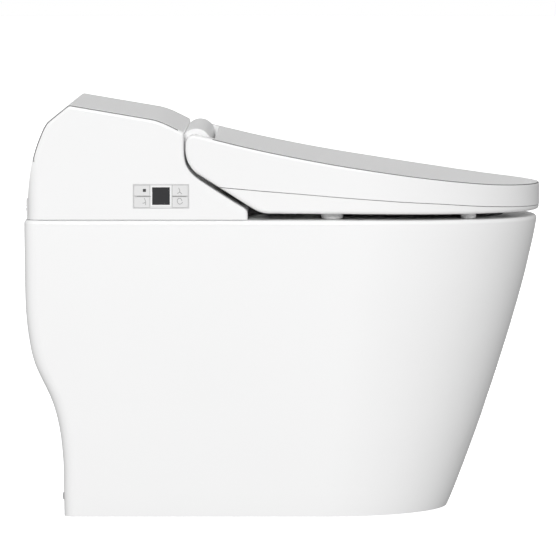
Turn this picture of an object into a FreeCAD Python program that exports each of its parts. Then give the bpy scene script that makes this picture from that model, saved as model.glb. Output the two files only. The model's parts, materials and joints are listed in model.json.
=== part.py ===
import FreeCAD, Part
import math
import os

import Sketcher
from FreeCAD import Placement, Rotation, Vector

# Floor-standing one-piece smart toilet with a heated seat, an integrated wash
# unit and a hidden tank. Millimetres, +Z up, front of the bowl towards -Y,
# control panel on the -X side, origin on the floor under the middle.
#
# Side profiles are tables of (reach, height): reach is measured forward from
# a datum plane, so Y = datum_y - reach.

doc = FreeCAD.newDocument("smart_toilet")
sheet = doc.addObject("Spreadsheet::Sheet", "Sizes")
sheet.Label = "Sizes"

CELLS = [
    ("datum_y", 10.65, "Y of the plane that reaches are measured from"),
    ("rim_half", 190, "half width of the ceramic at the rim"),
    ("base_half", 125, "half width of the ceramic at the floor"),
    ("rim_reach", 352.3, "reach of the rim's tip"),
    ("base_reach", 231, "reach of the foot's tip"),
    ("rim_nose", 245, "length of the half ellipse at the rim"),
    ("base_nose", 170, "length of the half ellipse at the floor"),
    ("rear_corner", 16, "radius of the two rear vertical corners"),
    ("wall", 13, "ceramic wall"),
    ("deck_z", 403.2, "height of the rear deck"),
    ("bowl_half", 132, "half width of the bowl mouth"),
    ("bowl_half_len", 143, "half length of the bowl mouth"),
    ("bowl_reach", 163, "reach of the bowl mouth's middle"),
    ("sump_z", 150, "bottom of the sump"),
    ("trap_radius", 28, "radius of the trapway bore"),
    ("trap_wall", 10, "wall of the trapway"),
    ("outlet_y", 39.85, "Y of the floor outlet"),
    ("seal_height", 14, "height of the outlet seal"),
    ("seal_outer", 50, "outer radius of the outlet seal"),
    ("seal_inner", 30, "inner radius of the outlet seal"),
    ("house_half", 189.5, "half width of the rear housing"),
    ("house_wall", 3, "wall of the rear housing"),
    ("house_round", 5, "edge radius of the rear housing"),
    ("house_round_front", 3, "edge radius of the housing's front"),
    ("seam_gap", 0.7, "shadow gap between ceramic and housing"),
    ("chassis_thick", 3, "thickness of the chassis plate"),
    ("lid_half", 189.5, "half width of the lid"),
    ("lid_reach", 355.5, "reach of the lid's tip"),
    ("lid_nose", 245, "length of the lid's half ellipse"),
    ("lid_wall", 3, "wall of the lid"),
    ("slot_reach", -82.9, "reach of the lid plate's rear edge"),
    ("lobe_inner", 165, "inner face of the lid's side lobes"),
    ("seat_half", 189, "half width of the seat"),
    ("seat_open_half", 104, "half width of the seat's opening"),
    ("seat_open_len", 124, "half length of the seat's opening"),
    ("seat_open_reach", 168, "reach of the opening's middle"),
    ("seat_crown", 9, "height of the crown over the seat's ledge"),
    ("hinge_reach", -108.35, "reach of the hinge axis"),
    ("hinge_z", 501.5, "height of the hinge axis"),
    ("barrel_radius", 20, "radius of the hinge barrel"),
    ("barrel_half", 146, "half length of the hinge barrel"),
    ("shaft_radius", 4, "radius of the hinge shaft"),
    ("shaft_fit", 0.06, "running clearance on the hinge shaft"),
    ("shaft_half", 182, "half length of the hinge shaft"),
    ("hub_radius", 13, "radius of the seat's hinge hubs"),
    ("hub_inner", 148, "inner face of the seat's hinge hubs"),
    ("hub_outer", 163.5, "outer face of the seat's hinge hubs"),
    ("nozzle_tilt", 28, "slope of the spray nozzles in degrees"),
    ("nozzle_reach", -30, "reach of the nozzle housing's mouth"),
    ("nozzle_z", 396, "height of the nozzle axes at that mouth"),
    ("nozzle_radius", 5.5, "radius of a spray nozzle"),
    ("nozzle_fit", 0.09, "running clearance of a spray nozzle"),
    ("nozzle_len", 218, "length of a spray nozzle"),
    ("nozzle_side", 9, "each nozzle's distance from the middle"),
    ("sleeve_half", 22, "half width of the nozzle housing"),
    ("sleeve_high", 19, "height of the nozzle housing"),
    ("sleeve_len", 118, "length of the nozzle housing"),
    ("duct_wide", 40, "width of the dryer duct"),
    ("duct_high", 17, "height of the dryer duct"),
    ("duct_len", 128, "length of the dryer duct"),
    ("duct_side", 50, "X of the dryer duct's middle"),
    ("flap_thick", 1.6, "thickness of the dryer flap"),
    ("fan_radius", 28, "radius of the blower wheel"),
    ("fan_wide", 20, "width of the blower wheel"),
    ("spindle", 3, "radius of a fan spindle"),
    ("plate_long", 73.2, "length of the control panel"),
    ("plate_tall", 31.8, "height of the control panel"),
    ("plate_thick", 2.2, "thickness of the control panel"),
    ("plate_reach", -153.5, "reach of the panel's middle"),
    ("plate_z", 434.8, "height of the panel's middle"),
    ("bezel_side", 26.8, "side of the display's frame"),
    ("bezel_rim", 1.8, "width of the display's frame"),
    ("key_long", 20.6, "length of a key"),
    ("key_tall", 13.8, "height of a key"),
    ("key_thick", 3, "thickness of a key"),
    ("key_gap", 0.3, "gap round a key"),
    ("key_travel", 0.6, "travel of a key"),
    ("tank_long", 100, "length of the water tank"),
    ("tank_wide", 124, "width of the water tank"),
    ("tank_tall", 108, "height of the water tank"),
    ("tank_wall", 2.5, "wall of the water tank"),
    ("pump_radius", 42, "radius of the flush pump"),
    ("pump_tall", 96, "height of the flush pump"),
    ("pipe_radius", 13, "radius of the flush pipe"),
    ("heater_radius", 17, "radius of the water heater"),
    ("heater_len", 96, "length of the water heater"),
    ("board_thick", 1.6, "thickness of a circuit board"),
    ("inlet_radius", 10.47, "radius of the water inlet's G 1/2 thread"),
    ("inlet_len", 16, "length of the water inlet's thread"),
    ("inlet_bore", 6, "radius of the water inlet's bore"),
    ("gland_radius", 9, "radius of the power gland"),
    ("screw_radius", 2, "radius of a case screw"),
    ("screw_head", 3.8, "radius of a case screw's head"),
    ("bracket_bolt", 4, "radius of a floor bolt"),
]
for row, (alias, value, note) in enumerate(CELLS, start=1):
    sheet.set("A%d" % row, note)
    sheet.set("B%d" % row, str(value))
    sheet.setAlias("B%d" % row, alias)
doc.recompute()


class Size:
    """A number together with the sheet expression that gives it."""

    def __init__(self, value, text):
        self.value = float(value)
        self.text = text

    def _with(self, other, sign, value):
        other = lift(other)
        return Size(value(self.value, other.value), "(%s %s %s)" % (self.text, sign, other.text))

    def __add__(self, other):
        return self._with(other, "+", lambda a, b: a + b)

    def __sub__(self, other):
        return self._with(other, "-", lambda a, b: a - b)

    def __mul__(self, other):
        return self._with(other, "*", lambda a, b: a * b)

    def __truediv__(self, other):
        return self._with(other, "/", lambda a, b: a / b)

    def __neg__(self):
        return Size(-self.value, "(0 - %s)" % self.text)

    def __radd__(self, other):
        return lift(other) + self

    def __rsub__(self, other):
        return lift(other) - self


def lift(x):
    if isinstance(x, Size):
        return x
    return Size(x, "%.6f" % x if x >= 0 else "(0 - %.6f)" % -x)


def q(name):
    return Size(float(sheet.get(name)), "Sizes." + name)


def num(name):
    return float(sheet.get(name))


def bind(obj, prop, size):
    """Set a property and tie it to the sheet."""
    size = lift(size)
    obj.setExpression(prop, size.text)


DY = num("datum_y")


def at(reach, z, x=0.0):
    return Vector(x, DY - reach, z)


CHASSIS_SCREWS = [(-168, 120), (168, 120), (-168, 300), (168, 300)]
COVER_SCREWS = [(-150, DY + 331.2, 417), (150, DY + 331.2, 417)]
NODES = []


def node(obj, label):
    obj.Label = label
    NODES.append(obj)
    return obj


# ---------------------------------------------------------------- features


def place(obj, x, y, z, rot=None):
    x, y, z = lift(x), lift(y), lift(z)
    obj.Placement = Placement(Vector(x.value, y.value, z.value), rot or Rotation())
    for axis, size in (("x", x), ("y", y), ("z", z)):
        if "Sizes." in size.text:
            obj.setExpression("Placement.Base." + axis, size.text)
    return obj


def box(name, l, w, h, x, y, z, rot=None):
    """A block whose lowest corner is at x, y, z."""
    o = doc.addObject("Part::Box", name)
    for prop, size in (("Length", l), ("Width", w), ("Height", h)):
        setattr(o, prop, lift(size).value)
        bind(o, prop, size)
    return place(o, x, y, z, rot)


def cyl(name, r, h, x, y, z, rot=None):
    o = doc.addObject("Part::Cylinder", name)
    for prop, size in (("Radius", r), ("Height", h)):
        setattr(o, prop, lift(size).value)
        bind(o, prop, size)
    return place(o, x, y, z, rot)


def cone(name, r_low, r_high, h, x, y, z, rot=None):
    o = doc.addObject("Part::Cone", name)
    for prop, size in (("Radius1", r_low), ("Radius2", r_high), ("Height", h)):
        setattr(o, prop, lift(size).value)
        bind(o, prop, size)
    return place(o, x, y, z, rot)


ALONG_X = Rotation(Vector(0, 1, 0), 90)
BACK_X = Rotation(Vector(0, 1, 0), -90)
ALONG_Y = Rotation(Vector(1, 0, 0), -90)
FRONT_Y = Rotation(Vector(1, 0, 0), 90)


def cut(name, base, *tools):
    for i, tool in enumerate(tools):
        o = doc.addObject("Part::Cut", name if i == len(tools) - 1 else name + "_c%d" % i)
        o.Base, o.Tool = base, tool
        base = o
    return base


def fuse(name, *shapes):
    o = doc.addObject("Part::MultiFuse", name)
    o.Shapes = list(shapes)
    o.Refine = True
    return o


def group(name, *shapes):
    """Separate solids of one kind kept as one node."""
    o = doc.addObject("Part::Compound", name)
    o.Links = list(shapes)
    return o


def fillet(name, base, radius, pick):
    o = doc.addObject("Part::Fillet", name)
    o.Base = base
    doc.recompute()
    edges = [i + 1 for i, e in enumerate(base.Shape.Edges) if pick(e)]
    if not edges:
        raise RuntimeError("no edge to round on " + name)
    o.Edges = [(i, radius, radius) for i in edges]
    return o


def body(label):
    b = doc.addObject("PartDesign::Body", label)
    b.Label = label
    return b


def sketch(b, name, role="XY_Plane", up=0.0):
    sk = b.newObject("Sketcher::SketchObject", name)
    plane = [o for o in b.Origin.OriginFeatures if o.Role == role][0]
    sk.AttachmentSupport = [(plane, "")]
    sk.MapMode = "FlatFace"
    if up:
        sk.AttachmentOffset = Placement(Vector(0, 0, up), Rotation())
    return sk


def line_loop(sk, points):
    """A closed polygon, every corner dimensioned from the sketch's origin."""
    points = [(lift(x), lift(y)) for x, y in points]
    first = sk.GeometryCount
    n = len(points)
    for i in range(n):
        a, b = points[i], points[(i + 1) % n]
        sk.addGeometry(
            Part.LineSegment(Vector(a[0].value, a[1].value, 0), Vector(b[0].value, b[1].value, 0)),
            False,
        )
    for i in range(n):
        sk.addConstraint(Sketcher.Constraint("Coincident", first + i, 2, first + (i + 1) % n, 1))
    for i, (x, y) in enumerate(points):
        for kind, size in (("DistanceX", x), ("DistanceY", y)):
            c = sk.addConstraint(Sketcher.Constraint(kind, -1, 1, first + i, 1, size.value))
            if "Sizes." in size.text:
                sk.setExpression("Constraints[%d]" % c, size.text)


def rect(sk, w, h, x=0.0, y=0.0):
    w, h, x, y = lift(w), lift(h), lift(x), lift(y)
    line_loop(
        sk,
        [(x - w / 2, y - h / 2), (x + w / 2, y - h / 2), (x + w / 2, y + h / 2), (x - w / 2, y + h / 2)],
    )


def circle(sk, r, x=0.0, y=0.0):
    r, x, y = lift(r), lift(x), lift(y)
    g = sk.addGeometry(Part.Circle(Vector(x.value, y.value, 0), Vector(0, 0, 1), r.value), False)
    for kind, args, size in (
        ("Radius", (g,), r),
        ("DistanceX", (-1, 1, g, 3), x),
        ("DistanceY", (-1, 1, g, 3), y),
    ):
        c = sk.addConstraint(Sketcher.Constraint(kind, *args, size.value))
        if "Sizes." in size.text:
            sk.setExpression("Constraints[%d]" % c, size.text)


def pad(b, sk, length, back=False):
    p = b.newObject("PartDesign::Pad", sk.Name + "_pad")
    p.Profile = sk
    p.Length = lift(length).value
    bind(p, "Length", length)
    p.Reversed = back
    return p


def pocket(b, sk, length, back=False):
    p = b.newObject("PartDesign::Pocket", sk.Name + "_pocket")
    p.Profile = sk
    p.Length = lift(length).value
    bind(p, "Length", length)
    p.Reversed = back
    return p


def revolve(b, sk, axis="V_Axis"):
    r = b.newObject("PartDesign::Revolution", sk.Name + "_turn")
    r.Profile = sk
    r.ReferenceAxis = (sk, [axis])
    r.Angle = 360
    return r


def turned(label, points, rot=None, at_point=(0, 0, 0)):
    """A body turned about its own Z axis from a half profile of (radius, height) points."""
    b = body(label)
    sk = sketch(b, label + "_profile", "XZ_Plane")
    line_loop(sk, points)
    revolve(b, sk)
    return place(b, *at_point, rot=rot)


# ---------------------------------------------------------------- curves


def spline(points):
    c = Part.BSplineCurve()
    c.interpolate([Vector(p) for p in points])
    return c.toShape()


def seg(a, b):
    return Part.LineSegment(Vector(a), Vector(b)).toShape()


def table(rows, z):
    """Read a table of (height, value) rows at a height."""
    if z <= rows[0][0]:
        return rows[0][1]
    for (z0, v0), (z1, v1) in zip(rows, rows[1:]):
        if z <= z1:
            return v0 + (v1 - v0) * (z - z0) / (z1 - z0)
    return rows[-1][1]


def plan(half, reach, nose, back, corner, z):
    """Plan outline: half ellipse in front, straight sides, two rounded rear corners."""
    mid = reach - nose
    p = lambda x, f: at(f, z, x)
    k = math.sqrt(0.5)
    ell = Part.Ellipse(at(reach, z), at(mid, z, half), at(mid, z)) if nose > half else Part.Ellipse(
        at(mid, z, half), at(reach, z), at(mid, z)
    )
    # the half of the ellipse that lies in front of its own middle
    a0, a1 = ell.parameter(at(mid, z, half)), ell.parameter(at(mid, z, -half))
    half_arc = Part.Arc(ell, a0, a1)
    test = half_arc.toShape()
    if test.valueAt((test.FirstParameter + test.LastParameter) / 2).y > DY - mid:
        half_arc = Part.Arc(ell, a1, a0)
    front = half_arc.toShape()
    edges = [
        front,
        seg(p(-half, mid), p(-half, -back + corner)),
        Part.Arc(
            p(-half, -back + corner),
            p(-half + corner * (1 - k), -back + corner * (1 - k)),
            p(-half + corner, -back),
        ).toShape(),
        seg(p(-half + corner, -back), p(half - corner, -back)),
        Part.Arc(
            p(half - corner, -back),
            p(half - corner * (1 - k), -back + corner * (1 - k)),
            p(half, -back + corner),
        ).toShape(),
        seg(p(half, -back + corner), p(half, mid)),
    ]
    return Part.Wire(Part.__sortEdges__(edges))


def open_back_plan(half, reach, nose, back, z):
    """The same outline with square rear corners."""
    mid = reach - nose
    ell = Part.Ellipse(at(reach, z), at(mid, z, half), at(mid, z))
    arc = Part.Arc(ell, ell.parameter(at(mid, z, half)), ell.parameter(at(mid, z, -half)))
    shape = arc.toShape()
    if shape.valueAt((shape.FirstParameter + shape.LastParameter) / 2).y > DY - mid:
        arc = Part.Arc(ell, ell.parameter(at(mid, z, -half)), ell.parameter(at(mid, z, half)))
        shape = arc.toShape()
    edges = [
        shape,
        seg(at(mid, z, -half), at(-back, z, -half)),
        seg(at(-back, z, -half), at(-back, z, half)),
        seg(at(-back, z, half), at(mid, z, half)),
    ]
    return Part.Wire(Part.__sortEdges__(edges))


def prism(wire, height):
    return Part.Face(wire).extrude(Vector(0, 0, height))


def oval(mid, half_len, half, z):
    a, b = at(mid + half_len, z), at(mid, z, half)
    c = at(mid, z)
    e = Part.Ellipse(a, b, c) if half_len > half else Part.Ellipse(b, a, c)
    return Part.Wire([e.toShape()])


def slab(wire, x0, x1):
    """A side profile at x = 0 spread from x0 to x1."""
    face = Part.Face(wire)
    face.translate(Vector(x0, 0, 0))
    return face.extrude(Vector(x1 - x0, 0, 0))


def side_points(rows, dz=0.0):
    return [at(f, z + dz) for f, z in rows]


def round_path(points, radius):
    """Straight runs joined by tangent arcs."""
    edges, start = [], points[0]
    for a, b, c in zip(points, points[1:], points[2:]):
        u, v = (a - b).normalize(), (c - b).normalize()
        half = u.getAngle(v) / 2
        cutback = radius / math.tan(half)
        p, r = b + u * cutback, b + v * cutback
        middle = (u + v).normalize()
        m = b + middle * (radius / math.sin(half) - radius)
        if (p - start).Length > 1e-6:
            edges.append(seg(start, p))
        edges.append(Part.Arc(p, m, r).toShape())
        start = r
    edges.append(seg(start, points[-1]))
    return Part.Wire(edges)


def tube(points, bend, radius):
    path = round_path(points, bend)
    direction = points[1] - points[0]
    ring = Part.Wire([Part.Circle(points[0], direction, radius).toShape()])
    return path.makePipeShell([ring], True, False), path.Length


def free(label, shape):
    """A shape that is made with curve functions instead of features."""
    o = doc.addObject("Part::Feature", label)
    o.Shape = shape
    o.Placement = Placement()
    return node(o, label)


def inner_profile(wire, wall):
    """The profile drawn one wall further in, as short straight runs."""
    points = []
    for e in wire.OrderedEdges:
        run = e.discretize(Deflection=0.12) if e.Curve.TypeId != "Part::GeomLine" else [v.Point for v in e.Vertexes]
        if not points:
            first = wire.OrderedEdges[1]
            ends = [v.Point for v in first.Vertexes]
            if min((run[-1] - p).Length for p in ends) > 1e-3:
                run.reverse()
        elif (run[0] - points[-1]).Length > 1e-3:
            run.reverse()
        points += run if not points else run[1:]
    if (points[-1] - points[0]).Length < 1e-3:
        points.pop()
    outline = Part.makePolygon(points + [points[0]])
    return Part.Face(outline).makeOffset2D(-wall, 2, False, False).Wires[0]


def near(e, x, tol=0.3):
    """Does the edge lie in one of the two planes at -x and +x?"""
    return any(all(abs(v.X - s * x) < tol for v in e.Vertexes) for s in (-1, 1))


# ---------------------------------------------------------------- side tables

# front edge of the ceramic: height, reach
FRONT = [
    (-30, 217.3), (0, 231.0), (18.1, 239.2), (34.7, 245.7), (51.3, 251.8), (67.8, 257.9), (84.4, 264.1),
    (101, 269.9), (117.5, 275.8), (134.1, 281.1), (150.6, 286.5), (167.1, 291.9), (183.6, 297.3),
    (200.1, 302.4), (216.6, 307.5), (233.1, 312.6), (249.6, 317.4), (266, 322.3), (282.5, 326.8),
    (298.9, 331.3), (315.4, 335.6), (331.8, 339.5), (348.2, 343.1), (364.6, 346.8), (381, 350.2),
    (397.4, 352.3), (412, 353.4), (430, 354.0),
]
# rear edge of the ceramic: height, reach behind the datum
BACK = [
    (-30, 287.0), (50, 286.9), (74, 287.0), (90, 287.8), (107, 289.4), (123, 291.5), (139, 294.8),
    (155, 299.2), (171.5, 305.4), (187.7, 313.7), (204, 320.5), (220, 325.5), (236, 328.9),
    (252, 331.0), (268, 332.6), (284, 333.6), (300, 334.1), (343, 334.2), (430, 334.2),
]
# top of the rim: reach, height
RIM = [(0, 403.2), (60, 403.1), (120, 402.9), (161, 402.5), (228, 401.6), (282, 400.3), (324, 399.2), (370, 398.0)]
# underside of the seat: reach, height
SEAT_LOW = [(-9.8, 411.8), (60, 411.4), (161, 410.4), (241, 409.0), (296, 408.0), (325, 407.2), (365, 405.8)]
# line between lid and seat: reach, height
SEAM = [
    (-90, 447.9), (-61, 445.2), (-23, 441.8), (29.5, 437.6), (82, 433.1), (134.5, 429.1),
    (161, 427.0), (214, 423.4), (265, 418.9), (296, 416.6), (325, 414.6), (365, 412.2),
]
# top of the lid: reach, height
LID_TOP = [
    (-109.4, 515.5), (-88.5, 510.9), (-57, 503.2), (-15.1, 493.7), (26.9, 485.2), (68.9, 477.4),
    (110.8, 470.5), (152.8, 464.0), (195, 457.9), (227, 453.7), (261, 449.6), (296, 446.2),
    (325, 444.3), (365, 442.6),
]
# the lid lobe's rounded rear end, from the top round to the lower straight
LOBE = [
    (-109.4, 515.5), (-116.0, 513.4), (-119.7, 509.2), (-121.3, 502.5), (-121.5, 496.4),
    (-120.8, 488.5), (-118.6, 480.6), (-114.7, 473.4), (-109.5, 467.2), (-102.9, 462.5),
]
# the underside that runs on from there to the seat's flat bottom
SWEEP = [
    (-102.9, 462.5), (-91.1, 455.3), (-79.3, 447.8), (-59.7, 435.2), (-49.2, 428.4), (-36.1, 420.2),
    (-26.9, 415.2), (-19, 412.7), (-9.8, 411.8),
]
# front face of the rear housing, from its lip up to the hinge recess
HOUSE_FRONT = [
    (-40.2, 413.2), (-41.6, 416.4), (-44.4, 418.9), (-54.5, 424.9), (-65, 431.4), (-75.5, 438.1),
    (-85.9, 444.8), (-96.4, 451.6), (-103, 456.0), (-109.5, 461.2), (-115.4, 467.2), (-119.7, 474.2),
    (-122.2, 481.8), (-123.2, 489.7), (-123.6, 497.6),
]
HOUSE_TOP = [(-123.6, 519.0), (-139.5, 527.0), (-149.5, 531.6), (-158.5, 534.9), (-169, 537.3), (-183.5, 540.1), (-272.8, 554.9)]
HOUSE_BACK = [
    (-275.2, 554.2), (-285.8, 545.6), (-299, 535.0), (-303.2, 531.0), (-308.2, 522.5), (-313.6, 509.9),
    (-318.9, 494.8), (-323.2, 478.4), (-326.4, 459.9), (-328.4, 441.4), (-329.2, 430.5),
]

# ---------------------------------------------------------------- ceramic


def half_at(z):
    g = (table(FRONT, z) - num("base_reach")) / (num("rim_reach") - num("base_reach"))
    return num("base_half") + (num("rim_half") - num("base_half")) * min(g, 1.0)


def nose_at(z):
    g = (table(FRONT, z) - num("base_reach")) / (num("rim_reach") - num("base_reach"))
    return num("base_nose") + (num("rim_nose") - num("base_nose")) * min(g, 1.0)


def skirt(levels, inset=0.0, first=None):
    wires = []
    for z in levels:
        zz = z
        wires.append(
            plan(
                half_at(zz) - inset,
                table(FRONT, zz) - inset,
                nose_at(zz) - inset * 1.2,
                table(BACK, zz) - inset,
                max(num("rear_corner") - inset, 5.0),
                z,
            )
        )
    return Part.makeLoft(wires, True, False)


# even steps, and one below the floor, keep the lofted skin free of waves
LEVELS = [-30 + 26 * k for k in range(18)]
outer = skirt(LEVELS)
outer = outer.cut(Part.makeBox(600, 900, 60, Vector(-300, -450, -60)))

rim_wire = Part.Wire(
    [
        seg(at(-400, 403.2), at(0, 403.2)),
        spline(side_points(RIM)),
        seg(at(370, 398.0), at(370, 470)),
        seg(at(370, 470), at(-400, 470)),
        seg(at(-400, 470), at(-400, 403.2)),
    ]
)
above_rim = slab(rim_wire, -230, 230)
outer = outer.cut(above_rim)

zb = num("sump_z")
BOWL = [
    (425, num("bowl_reach"), num("bowl_half_len") + 1, num("bowl_half") + 1),
    (392, num("bowl_reach"), num("bowl_half_len"), num("bowl_half")),
    (350, 162, 136, 124),
    (300, 156, 120, 108),
    (250, 146, 97, 87),
    (205, 134, 71, 66),
    (172, 126, 52, 48),
    (zb, 122, 38, 36),
]


def bowl_loft(grow):
    rows = [(z if i < len(BOWL) - 1 else z - grow, c, a + grow, b + grow) for i, (z, c, a, b) in enumerate(BOWL)]
    return Part.makeLoft([oval(c, a, b, z) for z, c, a, b in rows], True, False)


oy = DY - num("outlet_y")
trap_points = [at(128, 180), at(66, 149), at(20, 236), at(oy, 180), at(oy, -20)]
tr = num("trap_radius")
trap_bore, trap_len = tube(trap_points, 34, tr)
trap_skin, _ = tube(trap_points, 34, tr + num("trap_wall"))
print("trapway bore volume / (section x length): %.4f" % (trap_bore.Volume / (math.pi * tr * tr * trap_len)))

# the step behind the bowl that the wash nozzles come out of
notch = Part.makeBox(164, 100, 112, at(25, 356, -82))
notch_skin = Part.makeBox(184, 130, 142, at(37, 344, -92))
void = skirt([z for z in LEVELS if z < 370], num("wall"))
void = void.cut(bowl_loft(11)).cut(trap_skin).cut(notch_skin)
ceramic = outer.cut(void)
# rear compartment under the housing
ceramic = ceramic.cut(Part.makeBox(300, 196, 60, at(-108, 352, -150)))
ceramic = ceramic.cut(notch)
ceramic = ceramic.cut(bowl_loft(0)).cut(trap_bore)
# room for the seal under the outlet horn
ceramic = ceramic.cut(Part.makeCylinder(num("seal_outer") + 1, num("seal_height") + 1, at(oy, -1)))
# service opening in the rear wall and the holes of the two bracket screws
ceramic = ceramic.cut(Part.makeBox(150, 40, 48, at(-262, 52, -75)))
for sx in (-1, 1):
    ceramic = ceramic.cut(Part.makeCylinder(3.2, 40, at(-262, 24, sx * 92), Vector(0, 1, 0)))
# jet channel from the flush pipe into the bowl, and pilot holes for the chassis screws
ceramic = ceramic.cut(Part.makeCylinder(8, 75, Vector(56, -125, 205), Vector(0, 1, 0)))
for x, y in CHASSIS_SCREWS:
    ceramic = ceramic.cut(Part.makeCylinder(num("screw_radius"), 40, Vector(x, y, 382)))


def round_edges(shape, picks):
    """Round groups of edges, each group given as (radius, test)."""
    for radius, pick in picks:
        edges = [e for e in shape.Edges if pick(e)]
        if not edges:
            raise RuntimeError("no edge for radius %g" % radius)
        shape = shape.makeFillet(radius, edges)
    return shape


def on_rim_outside(e):
    """Edges where the rim's top meets the outer wall."""
    p = e.valueAt((e.FirstParameter + e.LastParameter) / 2)
    f = DY - p.y
    if not 396 < p.z < 404:
        return False
    if abs(p.x) > 186:
        return -322 < f < 112
    if f > 300:
        return True
    return False


ceramic = round_edges(ceramic, [(4.5, on_rim_outside)])

ceramic_node = free("ceramic_body", ceramic)

# ---------------------------------------------------------------- outlet and floor fixings

seal = turned(
    "outlet_seal",
    [
        (q("seal_inner"), 0), (q("seal_outer"), 0), (q("seal_outer"), q("seal_height") - 5),
        (q("seal_outer") - 5, q("seal_height")), (q("seal_inner"), q("seal_height")),
    ],
    at_point=(0, q("outlet_y"), 0),
)
node(seal, "outlet_seal")

blocks, screws, bolts = [], [], []
for i, sx in enumerate((-1, 1)):
    blk = box("bracket_block%d" % i, 32, 39, 46, sx * 92 - 16, DY + 233.6, 0)
    hole = cyl("bracket_hole%d" % i, q("bracket_bolt"), 60, sx * 92, DY + 251, -5)
    well = cyl("bracket_well%d" % i, 8.5, 44, sx * 92, DY + 251, 8)
    pilot = cyl("bracket_pilot%d" % i, 2.5, 30, sx * 92, DY + 250, 24, ALONG_Y)
    blocks.append(cut("floor_block%d" % i, blk, hole, well, pilot))
    head = cyl("bolt_head%d" % i, 7.5, 5, sx * 92, DY + 251, 8)
    shank = cyl("bolt_shank%d" % i, q("bracket_bolt"), 8, sx * 92, DY + 251, 0)
    bolts.append(fuse("floor_bolt%d" % i, head, shank))
    sh = cyl("screw_shank%d" % i, 2.5, 26, sx * 92, DY + 261.5, 24, ALONG_Y)
    hd = cone("screw_head%d" % i, 6, 4.6, 2.4, sx * 92, DY + 287.05, 24, ALONG_Y)
    screws.append(fuse("skirt_screw%d" % i, sh, hd))
node(group("floor_brackets", *blocks), "floor_brackets")
node(group("floor_bolts", *bolts), "floor_bolts")
node(group("skirt_screws", *screws), "skirt_screws")

# ---------------------------------------------------------------- rear housing


def house_wire():
    z0 = num("deck_z") + num("seam_gap")
    edges = [
        seg(at(-39.8, z0), at(-39.8, 410.6)),
        spline([at(-39.8, 410.6)] + side_points(HOUSE_FRONT)),
        seg(at(-123.6, 497.6), at(-123.6, 519.0)),
        seg(at(-123.6, 519.0), at(*HOUSE_TOP[1])),
        spline(side_points(HOUSE_TOP[1:5])),
        seg(at(*HOUSE_TOP[4]), at(*HOUSE_TOP[-1])),
        seg(at(*HOUSE_TOP[-1]), at(*HOUSE_BACK[0])),
        seg(at(*HOUSE_BACK[0]), at(*HOUSE_BACK[2])),
        spline(side_points(HOUSE_BACK[2:])),
        seg(at(*HOUSE_BACK[-1]), at(-329.2, z0)),
        seg(at(-329.2, z0), at(-39.8, z0)),
    ]
    return Part.Wire(Part.__sortEdges__(edges))


hh, hw = num("house_half"), num("house_wall")


def house_plan(inset):
    """Upright outline that gives the housing its rounded rear corners."""
    h, b, r = hh - inset, 329.2 - inset, num("rear_corner") - inset
    k = math.sqrt(0.5)
    p = lambda x, f: at(f, 380, x)
    edges = [
        seg(p(-h, -30), p(-h, -b + r)),
        Part.Arc(p(-h, -b + r), p(-h + r * (1 - k), -b + r * (1 - k)), p(-h + r, -b)).toShape(),
        seg(p(-h + r, -b), p(h - r, -b)),
        Part.Arc(p(h - r, -b), p(h - r * (1 - k), -b + r * (1 - k)), p(h, -b + r)).toShape(),
        seg(p(h, -b + r), p(h, -30)),
        seg(p(h, -30), p(-h, -30)),
    ]
    return prism(Part.Wire(Part.__sortEdges__(edges)), 200)


z_floor = num("deck_z") + num("seam_gap")
house_slab = slab(house_wire(), -hh, hh)
rounded = doc.addObject("Part::Feature", "housing_blank")
rounded.Shape = house_slab
soft = doc.addObject("Part::Fillet", "housing_rounded")
soft.Base = rounded
edge_radii = []
for i, e in enumerate(house_slab.Edges):
    if near(e, hh) and max(v.Z for v in e.Vertexes) > z_floor + 1 and e.Length > 0.5:
        r = q("house_round_front").value if max(v.Z for v in e.Vertexes) < 519.1 and min(DY - v.Y for v in e.Vertexes) > -123.7 else q("house_round").value
        edge_radii.append((i + 1, r, r))
soft.Edges = edge_radii
doc.recompute()
house_outer = soft.Shape.common(house_plan(0))
inset_wire = inner_profile(house_wire(), hw)
house_hollow = slab(inset_wire, -hh + hw, hh - hw)
# open underneath
low = inset_wire.BoundBox
house_hollow = house_hollow.fuse(
    Part.makeBox(2 * (hh - hw), low.YLength - 0.4, 12, Vector(-hh + hw, low.YMin + 0.2, num("deck_z") - 1))
).common(house_plan(hw))
housing = house_outer.cut(house_hollow)
axis = at(num("hinge_reach"), num("hinge_z"))
bh = num("barrel_half")
barrel_room = Part.makeCylinder(num("barrel_radius") + 0.05, 2 * bh + 0.4, Vector(-bh - 0.2, axis.y, axis.z), Vector(1, 0, 0))
housing = housing.cut(barrel_room)
# way out for the nozzles, the warm air and the air intake
housing = housing.cut(Part.makeBox(160, 20, 12, at(-30, 402, -80)))
# room for the nozzle housing and the two ducts that run close under the front wall
tilt = Rotation(Vector(1, 0, 0), num("nozzle_tilt"))
mouth = at(num("nozzle_reach"), num("nozzle_z"))
for x0, x1, high in ((-70.3, -29.7, 8.8), (-22.3, 22.3, 9.8), (29.7, 70.3, 8.8)):
    channel = Part.makeBox(x1 - x0, 150, high * 2, Vector(x0, -12, -high))
    channel.Placement = Placement(mouth, tilt)
    housing = housing.cut(channel)
# window for the control panel
pl, pt = num("plate_long"), num("plate_tall")
py, pz = DY - num("plate_reach"), num("plate_z")
housing = housing.cut(Part.makeBox(10, pl + 0.4, pt + 0.4, Vector(-hh - 5, py - pl / 2 - 0.2, pz - pt / 2 - 0.2)))
for x, y, z in COVER_SCREWS:
    housing = housing.cut(Part.makeCylinder(num("screw_radius"), 20, Vector(x, y - 18, z), Vector(0, 1, 0)))
free("rear_housing", housing)

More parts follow.
